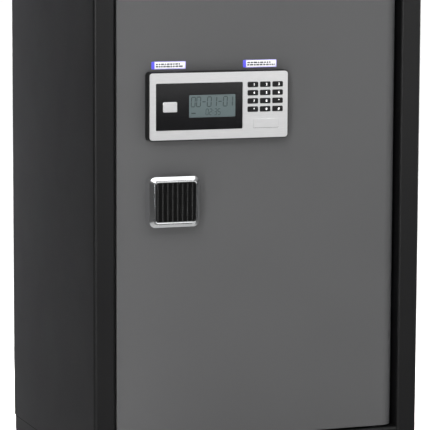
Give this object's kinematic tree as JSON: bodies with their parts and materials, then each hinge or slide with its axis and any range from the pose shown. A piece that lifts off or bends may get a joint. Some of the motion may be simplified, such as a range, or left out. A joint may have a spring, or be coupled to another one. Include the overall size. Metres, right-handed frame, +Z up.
{
  "type": "gun safe",
  "caption": "Floor-standing steel gun safe: flush hinged door with silver keypad lock panel and display, square turn handle driving side, top and bottom bolts, shelves and barrel rack inside.",
  "frame": {"origin": "on the floor, under the middle of the whole object, handle included", "axes": "+Z up, +X to the right as seen facing the door, +Y from the door to the back; the door faces -Y"},
  "size_m": [0.48, 0.422, 1.25],
  "materials": {
    "cabinet_paint": "dark charcoal powder coat, satin",
    "door_paint": "mid grey powder coat, satin",
    "bare_steel": "ground bright steel",
    "zinc_steel": "zinc plated",
    "chrome": "polished chrome plate",
    "silver_plate": "fine satin silver",
    "black_plastic": "black, fine texture",
    "gloss_black": "gloss black",
    "display_glass": "grey-green liquid crystal display",
    "circuit_green": "green solder mask",
    "carpet": "short grey pile",
    "brass": "machined brass"
  },
  "bodies": {
    "cabinet": {"left_side_panel": "cabinet_paint", "right_side_panel": "cabinet_paint", "top_panel": "cabinet_paint", "bottom_panel": "cabinet_paint", "back_panel": "cabinet_paint", "plinth_frame": "cabinet_paint", "door_stop_left": "cabinet_paint", "hinge_pin_top": "bare_steel", "hinge_pin_bottom": "bare_steel", "left_liner": "carpet", "right_liner": "carpet", "back_liner": "carpet", "floor_mat": "carpet", "divider_panel": "cabinet_paint", "shelf_lower": "cabinet_paint", "shelf_middle": "cabinet_paint", "shelf_upper": "cabinet_paint", "barrel_rack": "carpet"},
    "door": {"door_skin": "door_paint", "bolt_box": "cabinet_paint", "door_inner_cover": "cabinet_paint", "fixed_bolt_lower": "bare_steel", "fixed_bolt_middle": "bare_steel", "fixed_bolt_upper": "bare_steel", "panel_housing": "black_plastic", "panel_plate": "silver_plate", "display_window": "gloss_black", "lcd_module": "display_glass", "circuit_board": "circuit_green", "solenoid_body": "zinc_steel", "override_lock_body": "brass", "battery_box": "black_plastic"},
    "handle": {"handle_frame": "chrome", "handle_insert": "black_plastic", "handle_shaft": "bare_steel", "cam_disc": "zinc_steel"},
    "carriage": {"bolt_carriage": "zinc_steel", "side_bolt_lower": "bare_steel", "side_bolt_middle": "bare_steel", "side_bolt_upper": "bare_steel"},
    "top_rod": {"top_bolt_rod": "bare_steel"},
    "bottom_rod": {"bottom_bolt_rod": "bare_steel"},
    "plunger": {"solenoid_plunger": "bare_steel"},
    "enter": {"enter_button": "silver_plate"},
    "battery_lid": {"battery_cover": "black_plastic"},
    "lock_cover": {"override_cover": "silver_plate"},
    "lock_plug": {"override_plug": "brass"},
    "button_1": {"key_1": "black_plastic"},
    "button_2": {"key_2": "black_plastic"},
    "button_3": {"key_3": "black_plastic"},
    "button_4": {"key_4": "black_plastic"},
    "button_5": {"key_5": "black_plastic"},
    "button_6": {"key_6": "black_plastic"},
    "button_7": {"key_7": "black_plastic"},
    "button_8": {"key_8": "black_plastic"},
    "button_9": {"key_9": "black_plastic"},
    "button_star": {"key_star": "black_plastic"},
    "button_0": {"key_0": "black_plastic"},
    "button_hash": {"key_hash": "black_plastic"}
  },
  "joints": [
    {"name": "door_hinge", "type": "hinge", "parent": "cabinet", "child": "door", "pos_m": [0.187, -0.166, 0.65], "axis": [0, 0, 1], "range_deg": [0, 95]},
    {"name": "handle_turn", "type": "hinge", "parent": "door", "child": "handle", "pos_m": [-0.1308, -0.186, 0.4163], "axis": [0, -1, 0], "range_deg": [0, 60]},
    {"name": "carriage_slide", "type": "slide", "parent": "door", "child": "carriage", "axis": [-1, 0, 0], "range_m": [0, 0.0261]},
    {"name": "top_rod_slide", "type": "slide", "parent": "door", "child": "top_rod", "axis": [0, 0, 1], "range_m": [0, 0.0261]},
    {"name": "bottom_rod_slide", "type": "slide", "parent": "door", "child": "bottom_rod", "axis": [0, 0, -1], "range_m": [0, 0.0261]},
    {"name": "plunger_slide", "type": "slide", "parent": "door", "child": "plunger", "axis": [0, 0, -1], "range_m": [0, 0.006], "stiffness_N_per_m": 60, "springref_m": -0.004},
    {"name": "enter_press", "type": "slide", "parent": "door", "child": "enter", "axis": [0, 1, 0], "range_m": [0, 0.0012], "stiffness_N_per_m": 800, "springref_m": -0.0004},
    {"name": "battery_lid_slide", "type": "slide", "parent": "door", "child": "battery_lid", "axis": [0, 0, 1], "range_m": [0, 0.05]},
    {"name": "lock_cover_pull", "type": "slide", "parent": "door", "child": "lock_cover", "axis": [0, -1, 0], "range_m": [0, 0.012]},
    {"name": "lock_plug_turn", "type": "hinge", "parent": "door", "child": "lock_plug", "pos_m": [0.0019, -0.186, 0.5196], "axis": [0, -1, 0], "range_deg": [0, 90]},
    {"name": "press_1", "type": "slide", "parent": "door", "child": "button_1", "axis": [0, 1, 0], "range_m": [0, 0.0012], "stiffness_N_per_m": 500, "springref_m": -0.0004},
    {"name": "press_2", "type": "slide", "parent": "door", "child": "button_2", "axis": [0, 1, 0], "range_m": [0, 0.0012], "stiffness_N_per_m": 500, "springref_m": -0.0004},
    {"name": "press_3", "type": "slide", "parent": "door", "child": "button_3", "axis": [0, 1, 0], "range_m": [0, 0.0012], "stiffness_N_per_m": 500, "springref_m": -0.0004},
    {"name": "press_4", "type": "slide", "parent": "door", "child": "button_4", "axis": [0, 1, 0], "range_m": [0, 0.0012], "stiffness_N_per_m": 500, "springref_m": -0.0004},
    {"name": "press_5", "type": "slide", "parent": "door", "child": "button_5", "axis": [0, 1, 0], "range_m": [0, 0.0012], "stiffness_N_per_m": 500, "springref_m": -0.0004},
    {"name": "press_6", "type": "slide", "parent": "door", "child": "button_6", "axis": [0, 1, 0], "range_m": [0, 0.0012], "stiffness_N_per_m": 500, "springref_m": -0.0004},
    {"name": "press_7", "type": "slide", "parent": "door", "child": "button_7", "axis": [0, 1, 0], "range_m": [0, 0.0012], "stiffness_N_per_m": 500, "springref_m": -0.0004},
    {"name": "press_8", "type": "slide", "parent": "door", "child": "button_8", "axis": [0, 1, 0], "range_m": [0, 0.0012], "stiffness_N_per_m": 500, "springref_m": -0.0004},
    {"name": "press_9", "type": "slide", "parent": "door", "child": "button_9", "axis": [0, 1, 0], "range_m": [0, 0.0012], "stiffness_N_per_m": 500, "springref_m": -0.0004},
    {"name": "press_star", "type": "slide", "parent": "door", "child": "button_star", "axis": [0, 1, 0], "range_m": [0, 0.0012], "stiffness_N_per_m": 500, "springref_m": -0.0004},
    {"name": "press_0", "type": "slide", "parent": "door", "child": "button_0", "axis": [0, 1, 0], "range_m": [0, 0.0012], "stiffness_N_per_m": 500, "springref_m": -0.0004},
    {"name": "press_hash", "type": "slide", "parent": "door", "child": "button_hash", "axis": [0, 1, 0], "range_m": [0, 0.0012], "stiffness_N_per_m": 500, "springref_m": -0.0004}
  ],
  "couplings": [
    {"joint": "carriage_slide", "follows": "handle_turn", "m_per_rad": 0.024828},
    {"joint": "top_rod_slide", "follows": "handle_turn", "m_per_rad": 0.024828},
    {"joint": "bottom_rod_slide", "follows": "handle_turn", "m_per_rad": 0.024828}
  ]
}
